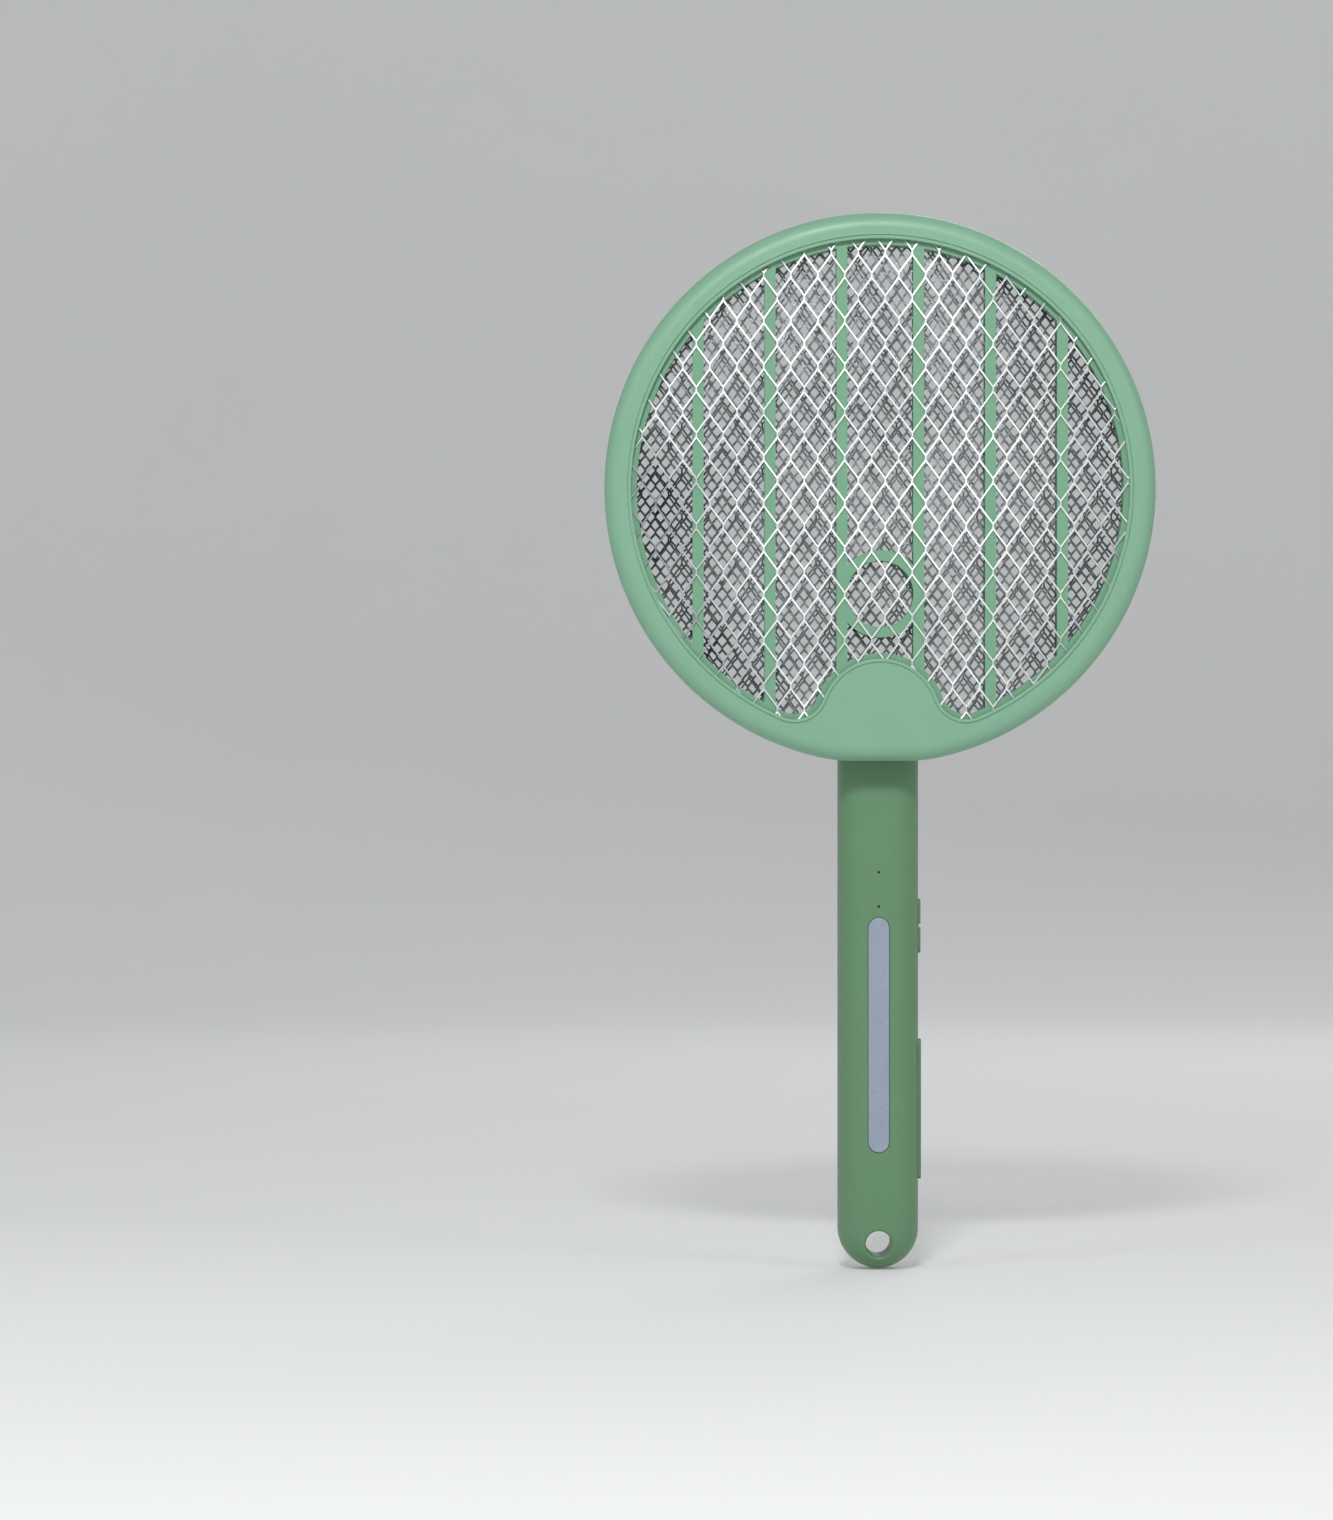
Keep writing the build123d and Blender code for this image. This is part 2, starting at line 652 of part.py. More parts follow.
def uv_leds():
    """Row of lamp chips on the lamp board."""
    leds = []
    for i in range(led_count):
        z = up(lamp_centre) + (i - (led_count - 1) / 2) * led_pitch
        face_y = lamp_board_front - led_height
        body = block(-led_width / 2, led_width / 2, face_y, lamp_board_front, z - led_length / 2,
                     z + led_length / 2)
        leds.append(body - rod(led_cup_radius, 0, z, face_y, face_y + led_height / 2))
    return leds


def indicator_leds():
    """One small lamp chip behind each pinhole."""
    leds = []
    for height in pinhole_heights:
        z = up(height)
        body = block(-0.8, 0.8, lamp_board_front - 0.8, lamp_board_front, z - 0.5, z + 0.5)
        leds.append(body + rod(0.4, 0, z, lamp_board_front - 1.2, lamp_board_front - 0.8))
    return leds


def link_pins():
    """Header pins between the two boards."""
    pins = []
    half = link_pin_width / 2
    z = (up(pinhole_heights[0]) + up(pinhole_heights[1])) / 2
    for i in range(link_pin_count):
        x = (i - (link_pin_count - 1) / 2) * link_pin_pitch
        pins.append(block(x - half, x + half, lamp_board_back_y, board_front_y, z - half, z + half))
    return pins


# ---------------------------------------------------------------- electronics
def main_board():
    """Power and control board."""
    return block(-board_width / 2, board_width / 2, board_front_y, board_back_y, up(board_bottom),
                 up(board_top))


def transformer():
    """Step-up transformer: wound core between two ferrite cheeks, on a bobbin foot."""
    low = up(board_top - 30)
    core = block(-6.5, 6.5, board_back_y + 1, board_back_y + 7, low, low + 3)
    core += block(-6.5, 6.5, board_back_y + 1, board_back_y + 7, low + 9, low + 12)
    coil = Pos(0, board_back_y + 4, low + 6) * Cylinder(2.9, 6)
    foot = block(-6, 6, board_back_y, board_back_y + 1, low, low + 12)
    return core + coil + foot


def hv_capacitor():
    """Dipped film capacitor of the high voltage side."""
    body = block(-6.5, 6.5, board_back_y + 0.4, board_back_y + 6.4, up(board_top - 13), up(board_top - 7))
    body = fillet(body.edges(), 1.5)
    for x in (-4, 4):
        body += rod(0.35, x, up(board_top - 10), board_back_y, board_back_y + 1.2)
    return body


def rectifier_diodes():
    """Four diodes of the voltage multiplier, lying across the board."""
    diodes = []
    for i in range(4):
        z = up(board_top - 36 - diode_pitch * i)
        body = Pos(0, board_back_y + 1.3, z) * Rot(0, 90, 0) * Cylinder(1.3, 4.4)
        for side in (-1, 1):
            body += Pos(side * 3.2, board_back_y + 1.3, z) * Rot(0, 90, 0) * Cylinder(0.35, 2.2)
            body += rod(0.35, side * 4.2, z, board_back_y, board_back_y + 1.5)
        diodes.append(body)
    return diodes


def control_chip():
    """Charger and driver chip with its legs."""
    z = up(usb_centre + 9)
    chip = block(-2, 2, board_back_y + 0.2, board_back_y + 1.6, z - 2.5, z + 2.5)
    for i in range(4):
        leg_z = z + (i - 1.5) * chip_leg_pitch
        chip += block(-3, 3, board_back_y, board_back_y + 0.5, leg_z - 0.2, leg_z + 0.2)
    return chip


def tact_switch():
    """Momentary switch body, open to the side where its plunger comes out."""
    z = up(tact_height)
    body = block(tact_x - 4.5, tact_x, -usb_height / 2, board_front_y, z - 3, z + 3)
    slot = tact_plunger_half + 0.15
    return body - block(tact_x - 3.4, tact_x, -slot, slot, z - slot, z + slot)


def tact_plunger():
    """Plunger of the momentary switch, pushed by the key."""
    z = up(tact_height)
    half = tact_plunger_half
    return block(tact_x - 2.0, key_boss_x, -half, half, z - half, z + half)


def trigger_key():
    """Long side key: outer face a little proud of the handle, flange inside, boss on the plunger."""
    z = up(key_centre)
    reach = handle_side_x + key_proud
    skin = handle_solid(key_proud) - handle_solid(-handle_wall - control_gap)
    cap = side_prism(key_length, key_width, control_corner, side_cut_low_x, reach, z) & skin
    cap = fillet(key_rim_edges(cap), control_ease)
    return cap + inner_flange(key_length, key_width, z) + block(
        key_boss_x, flange_inner_x + 0.5, -2, 2, up(tact_height) - 2, up(tact_height) + 2)


def mode_slider():
    """Slide knob with a notch across its middle, a flange inside and a fork on the switch lever."""
    z = up(slider_centre)
    reach = handle_side_x + slider_proud
    skin = handle_solid(slider_proud) - handle_solid(-handle_wall - control_gap)
    cap = side_prism(slider_length, slider_width, control_corner, side_cut_low_x, reach, z) & skin
    cap = fillet(key_rim_edges(cap), control_ease)
    cap -= block(reach - slider_notch_depth, reach, -slider_width, slider_width, z - slider_notch / 2,
                 z + slider_notch / 2)
    cap += inner_flange(slider_length + 2 * slider_travel, slider_width, z)
    fork = block(lever_tip_x - 2.5, flange_inner_x + 0.5, -2, 2, z - 2.4, z + 2.4)
    fork -= block(lever_tip_x - 2.5, lever_tip_x + 0.1, -2, 2, z - lever_half - 0.1, z + lever_half + 0.1)
    return cap + fork


def key_rim_edges(cap):
    """Edges around the outer face of a side control."""
    return cap.faces().sort_by(Axis.X)[-1].edges()


def inner_flange(length, width, z):
    """Flange behind the handle's wall that keeps a side control in."""
    outer = -handle_wall - control_gap
    skin = handle_solid(outer) - handle_solid(outer - flange_thickness)
    extra = 2 * (control_gap + retaining_lip)
    plate = side_prism(length + extra, width + extra, retaining_lip / 2, side_cut_low_x, handle_side_x, z)
    return plate & skin


def slide_switch():
    """Three-position slide switch: can with a slot for its lever."""
    z = up(slider_centre)
    body = block(switch_x - 4, switch_x, -usb_height / 2, board_front_y, z - 6.5, z + 6.5)
    reach = slider_travel + lever_half + 0.2
    return body - block(switch_x - 1.5, switch_x, -lever_half - 0.2, lever_half + 0.2, z - reach, z + reach)


def switch_lever():
    """Lever of the slide switch, between the prongs of the knob."""
    z = up(slider_centre)
    return block(switch_x - 1.3, lever_tip_x, -lever_half, lever_half, z - lever_half, z + lever_half)


def usb_socket():
    """Charging socket: round-ended steel shell with a contact tongue inside."""
    z = up(usb_centre)
    mouth_x = handle_side_x - usb_sink
    back_x = mouth_x - usb_length
    shell = side_prism(usb_width, usb_height, usb_corner, back_x, mouth_x, z)
    inner = (usb_width - 2 * usb_metal, usb_height - 2 * usb_metal)
    shell -= side_prism(*inner, usb_corner - usb_metal, back_x + 5 * usb_metal, mouth_x, z)
    tongue_width = usb_width - usb_height + socket_tongue
    tongue = block(back_x + usb_metal, mouth_x - 2 * usb_metal, -socket_tongue / 2, socket_tongue / 2,
                   z - tongue_width / 2, z + tongue_width / 2)
    return shell + tongue


def battery_cell():
    """Rechargeable round cell with its raised top contact."""
    cell = Pos(0, cell_centre_y, up(cell_bottom + cell_length / 2)) * Cylinder(cell_radius, cell_length)
    cell = fillet(cell.edges().filter_by(GeomType.CIRCLE), cell_ease)
    top = up(cell_bottom + cell_length)
    return cell + Pos(0, cell_centre_y, top + cell_button / 2) * Cylinder(cell_button_radius, cell_button)


def battery_tabs():
    """Nickel strips welded on both ends of the cell."""
    top = up(cell_bottom + cell_length) + cell_button
    bottom = up(cell_bottom)
    upper = block(-tab_half_width, tab_half_width, cell_centre_y - 5, cell_centre_y + 2, top,
                  top + tab_thickness)
    lower = block(-tab_half_width, cell_wire_x + wire_radius, cell_centre_y - 2.5, cell_centre_y + 2,
                  bottom - tab_thickness, bottom)
    return [upper, lower]


def battery_wires():
    """Wires from the cell's two strips to the lower end of the main board."""
    top = up(cell_bottom + cell_length) + cell_button + tab_thickness
    end_z = up(board_bottom + 3)
    cross_z = (top + up(board_bottom)) / 2
    cross_y = board_front_y - 2 * wire_radius
    plus = wire([(2, cell_centre_y - 4, top), (2, cell_centre_y - 4, end_z), (2, board_front_y, end_z)], 1.0)
    minus = wire([(cell_wire_x, cross_y, up(cell_bottom)), (cell_wire_x, cross_y, cross_z),
                  (-5, cross_y, cross_z), (-5, cross_y, end_z), (-5, board_front_y, end_z)], 0.9)
    return [plus, minus]


def hub_wires():
    """Wires from the hub's end to the upper end of the main board."""
    wires = []
    end_z = up(board_top - 4)
    for place in (-1, 0, 1):
        x = place * hub_wire_pitch
        wires.append(wire([(x, wire_meet_y, pivot_z), (x, wire_drop_y, pivot_z), (x, wire_drop_y, end_z),
                           (x, board_front_y, end_z)], 0.8))
    return wires


# ---------------------------------------------------------------- places that need the ones above
net_layers = ((net_front_y, net_sheet), (kill_front_y, kill_sheet), (rear_net_y, net_sheet))
tab_width = 4.0
tab_pitch = 6.5
tab_span = tab_pitch + tab_width / 2 + 0.5
tab_end_z = pivot_z + hub_pad_radius + 0.1
tab_room = 0.4
wire_meet_gap = 0.1
hub_wire_pitch = 2.0
wire_run_y = hub_front_y - 4.5
wire_meet_y = hub_end_y + 1.2
wire_drop_y = wire_meet_y + 2.6
rim_screw_seat_y = head_back_y - 2.0
rim_screw_tip_y = head_middle_y - 4.5
hub_screw_tip_y = hub_seat_y + 3.5
lamp_board_low = up(lamp_centre - lamp_window_length / 2) - lamp_board_margin
tact_height = 88.5
tact_x = board_width / 2 + 0.4
tact_plunger_half = 1.0
flange_inner_x = cavity_side_x - control_gap - flange_thickness
key_boss_x = flange_inner_x - 1.4
switch_x = board_width / 2 + 0.4
lever_half = 0.75
lever_tip_x = flange_inner_x - 0.6
cell_wire_x = cell_radius + 1.5
side_cut_low_x = cavity_side_x - 5
side_cut_high_x = handle_side_x + key_proud
usb_corner = usb_height / 2 - 0.01
main_post_z = (up(board_bottom + 8), up((board_bottom + board_top) / 2 + 4), up(board_top - 5))
lamp_post_z = (lamp_board_low + 1.6, up(pinhole_heights[0]) - 4.5)


def main():
    """Write every piece."""
    half = rim_half()
    front_grille = grille()
    pieces = {
        "front_rim": front_rim(half),
        "rear_rim": rear_rim(half),
        "front_grille": front_grille,
        "rear_grille": rim_back(front_grille),
        "front_mesh": expanded_sheet(-3.45, -0.5, net_front_y),
        "kill_mesh": kill_mesh(),
        "rear_mesh": expanded_sheet(1.6, 3.9, rear_net_y),
        "contact_tabs": contact_tabs(),
        "net_wires": net_wires(),
        "rim_screws": rim_screws(),
        "swivel_hub": swivel_hub(),
        "hub_screws": hub_screws(),
        "stop_pin": stop_pin(),
        "retaining_ring": retaining_ring(),
        "spring_washer": curved_washer(),
        "friction_washer": washer(spring_washer_radius, hub_radius + hole_fit,
                                  turntable_back_y + running_fit, friction_washer),
        "handle_front_shell": handle_front_shell(),
        "handle_rear_shell": handle_rear_shell(),
        "handle_screws": handle_screws(),
        "lamp_diffuser": lamp_diffuser(),
        "lamp_board": lamp_board(),
        "uv_leds": uv_leds(),
        "indicator_leds": indicator_leds(),
        "link_pins": link_pins(),
        "main_board": main_board(),
        "transformer": transformer(),
        "hv_capacitor": hv_capacitor(),
        "rectifier_diodes": rectifier_diodes(),
        "control_chip": control_chip(),
        "tact_switch": tact_switch(),
        "tact_plunger": tact_plunger(),
        "trigger_key": trigger_key(),
        "mode_slider": mode_slider(),
        "slide_switch": slide_switch(),
        "switch_lever": switch_lever(),
        "usb_socket": usb_socket(),
        "battery_cell": battery_cell(),
        "battery_tabs": battery_tabs(),
        "battery_wires": battery_wires(),
        "hub_wires": hub_wires(),
    }
    os.makedirs("parts", exist_ok=True)
    for name, shape in pieces.items():
        if isinstance(shape, list):
            shape = Compound(children=shape)
        export_step(shape, f"parts/{name}.step")


main()
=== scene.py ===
from math import ceil, cos, hypot, pi, radians, sin

import bpy
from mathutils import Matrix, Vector


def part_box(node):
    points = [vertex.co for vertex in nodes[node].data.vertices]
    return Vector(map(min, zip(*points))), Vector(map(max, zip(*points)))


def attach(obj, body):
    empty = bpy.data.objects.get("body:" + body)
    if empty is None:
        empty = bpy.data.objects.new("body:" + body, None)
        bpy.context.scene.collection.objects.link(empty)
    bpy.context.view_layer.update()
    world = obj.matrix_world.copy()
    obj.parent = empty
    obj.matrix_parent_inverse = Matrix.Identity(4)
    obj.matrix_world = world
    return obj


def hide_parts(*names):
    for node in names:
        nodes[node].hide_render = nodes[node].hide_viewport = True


# Folding electric insect swatter: finishes, nets and studio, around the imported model.
# Metres. X right, Z up, the face of the head and the lamp look to -Y.

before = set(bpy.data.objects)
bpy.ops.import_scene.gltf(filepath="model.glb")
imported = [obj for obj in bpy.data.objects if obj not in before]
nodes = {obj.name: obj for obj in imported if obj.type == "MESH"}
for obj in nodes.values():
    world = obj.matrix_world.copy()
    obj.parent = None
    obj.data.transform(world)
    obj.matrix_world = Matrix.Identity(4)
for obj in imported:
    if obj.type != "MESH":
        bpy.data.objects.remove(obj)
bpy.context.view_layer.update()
bpy.ops.object.select_all(action="DESELECT")

MM = 0.001
# Sockets of a colour Mix node, whose names its number and vector forms share
FACTOR, FIRST, SECOND, MIXED = 0, 6, 7, 2

# Places read from the model
rim_low, rim_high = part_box("front_rim")
handle_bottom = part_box("handle_front_shell")[0].z
head_radius = (rim_high.x - rim_low.x) / 2
head_x = (rim_high.x + rim_low.x) / 2
head_z = rim_high.z - head_radius
# The head's two mouldings meet at the front one's back edge, the handle's at the origin
head_seam_y = rim_high.y
handle_seam_y = 0.0

# Expanded metal. A cell is its long way, short way, strand width and bond length; a sheet is
# its thickness and the tilt that slitting leaves on the strands.
coarse_cell = (18.2 * MM, 10.75 * MM, 0.64 * MM, 1.6 * MM)
coarse_sheet = (0.6 * MM, 0.2 * MM)
fine_cell = (6.2 * MM, 4.1 * MM, 0.86 * MM, 0.9 * MM)
fine_sheet = (0.5 * MM, 0.22 * MM)
# One crossing of each net, across and up from the head's centre
front_crossing = (-3.45 * MM, -42.7 * MM)
rear_crossing = (1.6 * MM, -38.3 * MM)
live_crossing = (0.6 * MM, 1.1 * MM)
weld_reach = 0.02 * MM
smooth_angle = radians(30)

# View: its height at the head, and how far its middle lies from the head's centre
view_height = 607.3 * MM
view_left = 85.2 * MM
view_down = 108.4 * MM

# Studio
floor_gap = 0.5 * MM
floor_radius = 3.4
floor_bend = 1.2
wall_height = 1.6


# ---------------------------------------------------------------- small tools
def linear(shade):
    """Linear colour of an sRGB hex value, by the sRGB curve."""
    values = [int(shade[i:i + 2], 16) / 255 for i in (1, 3, 5)]
    return (*[v / 12.92 if v <= 0.04045 else ((v + 0.055) / 1.055) ** 2.4 for v in values], 1)


def per_metre(size_mm):
    """Texture scale whose features are size_mm across."""
    return 1 / (size_mm * MM)


def add_node(tree, kind, settings=None, inputs=None):
    """Adds one node with its settings, its values and its links."""
    new = tree.nodes.new(kind)
    for key, value in (settings or {}).items():
        setattr(new, key, value)
    for key, value in (inputs or {}).items():
        if isinstance(value, bpy.types.NodeSocket):
            tree.links.new(value, new.inputs[key])
        else:
            new.inputs[key].default_value = value
    return new


def new_material(name, ior, metallic, roughness):
    """Material with one shader; its constants are set on the shader's own sockets."""
    material = bpy.data.materials.new(name)
    material.use_nodes = True
    tree = material.node_tree
    shader = tree.nodes["Principled BSDF"]
    shader.inputs["Metallic"].default_value = metallic
    shader.inputs["Roughness"].default_value = roughness
    shader.inputs["IOR"].default_value = ior
    place = add_node(tree, "ShaderNodeTexCoord").outputs["Object"]
    return material, tree, shader, place


def mottled(tree, shader, place, light, dark, size_mm, detail=3):
    """Base colour that drifts between two shades in soft clouds."""
    cloud = add_node(tree, "ShaderNodeTexNoise", None,
                     {"Vector": place, "Scale": per_metre(size_mm), "Detail": detail, "Roughness": 0.55})
    blend = add_node(tree, "ShaderNodeMix", {"data_type": "RGBA"},
                     {FACTOR: cloud.outputs["Fac"], FIRST: linear(light), SECOND: linear(dark)})
    tree.links.new(blend.outputs[MIXED], shader.inputs["Base Color"])
    return blend.outputs[MIXED]


def uneven_gloss(tree, shader, place, low, high, size_mm):
    """Roughness that wanders between two values, over the part of the noise that it really fills."""
    cloud = add_node(tree, "ShaderNodeTexNoise", None,
                     {"Vector": place, "Scale": per_metre(size_mm), "Detail": 4})
    spread = add_node(tree, "ShaderNodeMapRange", None,
                      {"Value": cloud.outputs["Fac"], "From Min": 0.3, "From Max": 0.7,
                       "To Min": low, "To Max": high})
    tree.links.new(spread.outputs["Result"], shader.inputs["Roughness"])


# ---------------------------------------------------------------- finishes
def parting_line(tree, place, seam_y):
    """Zero in the joint between two mouldings that meet at a depth, one away from it."""
    darkest_within = 0.06 * MM
    gone_beyond = 0.28 * MM
    depth = add_node(tree, "ShaderNodeSeparateXYZ", None, {"Vector": place})
    shifted = add_node(tree, "ShaderNodeMath", {"operation": "SUBTRACT"},
                       {0: depth.outputs["Y"], 1: seam_y})
    away = add_node(tree, "ShaderNodeMath", {"operation": "ABSOLUTE"}, {0: shifted.outputs["Value"]})
    line = add_node(tree, "ShaderNodeMapRange", {"interpolation_type": "SMOOTHSTEP"},
                    {"Value": away.outputs["Value"], "From Min": darkest_within,
                     "From Max": gone_beyond, "To Min": 0, "To Max": 1})
    return line.outputs["Result"]


def moulded_abs(name, light, dark, roughness, seam_y=None):
    """ABS, injection moulded in a fine spark-eroded tool: satin, wide soft highlights, a hint of grain.

    Where two mouldings meet, a thin dark joint shows.
    """
    material, tree, shader, place = new_material(name, ior=1.53, metallic=0, roughness=roughness)
    colour = mottled(tree, shader, place, light, dark, size_mm=38)
    if seam_y is not None:
        joint = parting_line(tree, place, seam_y)
        darker = add_node(tree, "ShaderNodeMix", {"data_type": "RGBA"},
                          {FACTOR: joint, FIRST: linear("#2C4031"), SECOND: colour})
        tree.links.new(darker.outputs[MIXED], shader.inputs["Base Color"])
    uneven_gloss(tree, shader, place, low=roughness - 0.04, high=roughness + 0.05, size_mm=9)
    # Real grain is about 0.05 mm across; it is drawn at 0.45 mm so that it shows
    grain = add_node(tree, "ShaderNodeTexNoise", None,
                     {"Vector": place, "Scale": per_metre(0.45), "Detail": 2, "Roughness": 0.6})
    relief = add_node(tree, "ShaderNodeBump", None,
                      {"Height": grain.outputs["Fac"], "Distance": 0.015 * MM, "Strength": 0.35})
    tree.links.new(relief.outputs["Normal"], shader.inputs["Normal"])
    return material


def expanded_aluminium(name, light, dark, tarnish_and_shade_colour, roughness):
    """Aluminium, slit and stretched from rolled sheet: bright strands with rolling streaks.

    It is duller in patches, as tarnish, and painted darker towards its left and right sides, as painted
    shade.
    """
    material, tree, shader, place = new_material(name, ior=1.5, metallic=1, roughness=roughness)
    stretch = add_node(tree, "ShaderNodeMapping", None, {"Vector": place, "Scale": (1, 1, 0.12)})
    streak = add_node(tree, "ShaderNodeTexNoise", None,
                      {"Vector": stretch.outputs["Vector"], "Scale": per_metre(1.2), "Detail": 4})
    blend = add_node(tree, "ShaderNodeMix", {"data_type": "RGBA"},
                     {FACTOR: streak.outputs["Fac"], FIRST: linear(light), SECOND: linear(dark)})
    handling = add_node(tree, "ShaderNodeTexNoise", None,
                        {"Vector": place, "Scale": per_metre(70), "Detail": 2})
    patches = add_node(tree, "ShaderNodeMapRange", None,
                       {"Value": handling.outputs["Fac"], "From Min": 0.42, "From Max": 0.68,
                        "To Min": 0, "To Max": 0.6})
    # Painted shade: the strands darken towards the head's left and right sides, where less light falls on
    # them
    across = add_node(tree, "ShaderNodeSeparateXYZ", None, {"Vector": place})
    from_middle = add_node(tree, "ShaderNodeMath", {"operation": "ABSOLUTE"}, {0: across.outputs["X"]})
    painted_side_shade = add_node(tree, "ShaderNodeMapRange", None,
                     {"Value": from_middle.outputs["Value"], "From Min": 30 * MM, "From Max": 95 * MM,
                      "To Min": 0, "To Max": 0.6})
    tarnish_and_side_shade = add_node(tree, "ShaderNodeMath", {"operation": "ADD", "use_clamp": True},
                       {0: patches.outputs["Result"], 1: painted_side_shade.outputs["Result"]})
    tarnished_and_side_shaded = add_node(tree, "ShaderNodeMix", {"data_type": "RGBA"},
                      {FACTOR: tarnish_and_side_shade.outputs["Value"], FIRST: blend.outputs[MIXED],
                       SECOND: linear(tarnish_and_shade_colour)})
    tree.links.new(tarnished_and_side_shaded.outputs[MIXED], shader.inputs["Base Color"])
    uneven_gloss(tree, shader, place, low=roughness - 0.1, high=roughness + 0.1, size_mm=2.5)
    relief = add_node(tree, "ShaderNodeBump", None,
                      {"Height": streak.outputs["Fac"], "Distance": 0.02 * MM, "Strength": 0.5})
    tree.links.new(relief.outputs["Normal"], shader.inputs["Normal"])
    return material


def zinc_steel(name, light, dark):
    """Steel screws and springs, zinc plated: blue-grey, slightly cloudy."""
    material, tree, shader, place = new_material(name, ior=1.5, metallic=1, roughness=0.34)
    mottled(tree, shader, place, light, dark, size_mm=2.2, detail=5)
    uneven_gloss(tree, shader, place, low=0.26, high=0.44, size_mm=1.1)
    return material


def nickel_plate(name):
    """Nickel plated sheet, as stamped: warm grey with a brushed grain."""
    material, tree, shader, place = new_material(name, ior=1.5, metallic=1, roughness=0.25)
    stretch = add_node(tree, "ShaderNodeMapping", None, {"Vector": place, "Scale": (1, 1, 0.05)})
    grain = add_node(tree, "ShaderNodeTexNoise", None,
                     {"Vector": stretch.outputs["Vector"], "Scale": per_metre(0.3), "Detail": 3})
    blend = add_node(tree, "ShaderNodeMix", {"data_type": "RGBA"},
                     {FACTOR: grain.outputs["Fac"], FIRST: linear("#D8D2C6"), SECOND: linear("#A9A498")})
    tree.links.new(blend.outputs[MIXED], shader.inputs["Base Color"])
    relief = add_node(tree, "ShaderNodeBump", None,
                      {"Height": grain.outputs["Fac"], "Distance": 0.01 * MM, "Strength": 0.4})
    tree.links.new(relief.outputs["Normal"], shader.inputs["Normal"])
    return material


def frosted_polycarbonate(name):
    """Polycarbonate, moulded frosted: milky grey-lilac with the lamp off, soft sheen, faint flow clouds."""
    material, tree, shader, place = new_material(name, ior=1.58, metallic=0, roughness=0.32)
    mottled(tree, shader, place, "#98A4B4", "#8692A3", size_mm=14)
    uneven_gloss(tree, shader, place, low=0.26, high=0.38, size_mm=3)
    shader.inputs["Coat Weight"].default_value = 0.15
    shader.inputs["Coat Roughness"].default_value = 0.2
    return material


def natural_nylon(name):
    """Nylon or acetal, unfilled: ivory, waxy."""
    material, tree, shader, place = new_material(name, ior=1.53, metallic=0, roughness=0.4)
    mottled(tree, shader, place, "#EDE9DC", "#DCD6C4", size_mm=6)
    shader.inputs["Subsurface Weight"].default_value = 0.2
    shader.inputs["Subsurface Scale"].default_value = 1.0 * MM
    return material


def circuit_board(name):
    """Glass-epoxy board under green solder mask: raised tracks show through as lighter lines."""
    material, tree, shader, place = new_material(name, ior=1.5, metallic=0, roughness=0.3)
    turn = add_node(tree, "ShaderNodeMapping", None, {"Vector": place, "Rotation": (pi / 2, 0, 0)})
    tracks = add_node(tree, "ShaderNodeTexBrick", {"offset": 0.37, "squash": 1.6, "squash_frequency": 3},
                      {"Vector": turn.outputs["Vector"], "Scale": 1.0, "Color1": (1, 1, 1, 1),
                       "Color2": (1, 1, 1, 1), "Mortar": (0, 0, 0, 1), "Mortar Size": 0.25 * MM,
                       "Brick Width": 4.2 * MM, "Row Height": 2.1 * MM})
    blend = add_node(tree, "ShaderNodeMix", {"data_type": "RGBA"},
                     {FACTOR: tracks.outputs["Fac"], FIRST: linear("#1D5B33"), SECOND: linear("#3B8A52")})
    tree.links.new(blend.outputs[MIXED], shader.inputs["Base Color"])
    relief = add_node(tree, "ShaderNodeBump", None,
                      {"Height": tracks.outputs["Fac"], "Distance": 0.035 * MM, "Strength": 0.6})
    tree.links.new(relief.outputs["Normal"], shader.inputs["Normal"])
    return material


def moulded_epoxy(name, light, dark, roughness):
    """Component bodies of filled epoxy: dull, finely pitted."""
    material, tree, shader, place = new_material(name, ior=1.5, metallic=0, roughness=roughness)
    mottled(tree, shader, place, light, dark, size_mm=1.5, detail=4)
    pits = add_node(tree, "ShaderNodeTexVoronoi", None, {"Vector": place, "Scale": per_metre(0.35)})
    relief = add_node(tree, "ShaderNodeBump", None,
                      {"Height": pits.outputs["Distance"], "Distance": 0.02 * MM, "Strength": 0.5})
    tree.links.new(relief.outputs["Normal"], shader.inputs["Normal"])
    return material


def shrunk_sleeve(name):
    """PVC sleeve shrunk round the cell: glossy blue with fine tension wrinkles."""
    material, tree, shader, place = new_material(name, ior=1.53, metallic=0, roughness=0.22)
    mottled(tree, shader, place, "#2F6FB8", "#255A9C", size_mm=12)
    stretch = add_node(tree, "ShaderNodeMapping", None, {"Vector": place, "Scale": (0.15, 0.15, 1)})
    wrinkle = add_node(tree, "ShaderNodeTexNoise", None,
                       {"Vector": stretch.outputs["Vector"], "Scale": per_metre(1.2), "Detail": 3})
    relief = add_node(tree, "ShaderNodeBump", None,
                      {"Height": wrinkle.outputs["Fac"], "Distance": 0.06 * MM, "Strength": 0.5})
    tree.links.new(relief.outputs["Normal"], shader.inputs["Normal"])
    return material


def wire_vinyl(name):
    """Extruded vinyl on hook-up wire: smooth, slightly waxy red."""
    material, tree, shader, place = new_material(name, ior=1.53, metallic=0, roughness=0.36)
    mottled(tree, shader, place, "#B3261E", "#8F1B16", size_mm=4)
    return material


def studio_paper(name):
    """Matt seamless paper of the studio, which glows a little so that it stays pale in the shade."""
    material, tree, shader, place = new_material(name, ior=1.5, metallic=0, roughness=0.9)
    white = mottled(tree, shader, place, "#DFE0E0", "#DCDDDD", size_mm=400)
    shader.inputs["Specular IOR Level"].default_value = 0.1
    tree.links.new(white, shader.inputs["Emission Color"])
    shader.inputs["Emission Strength"].default_value = 0.14
    return material


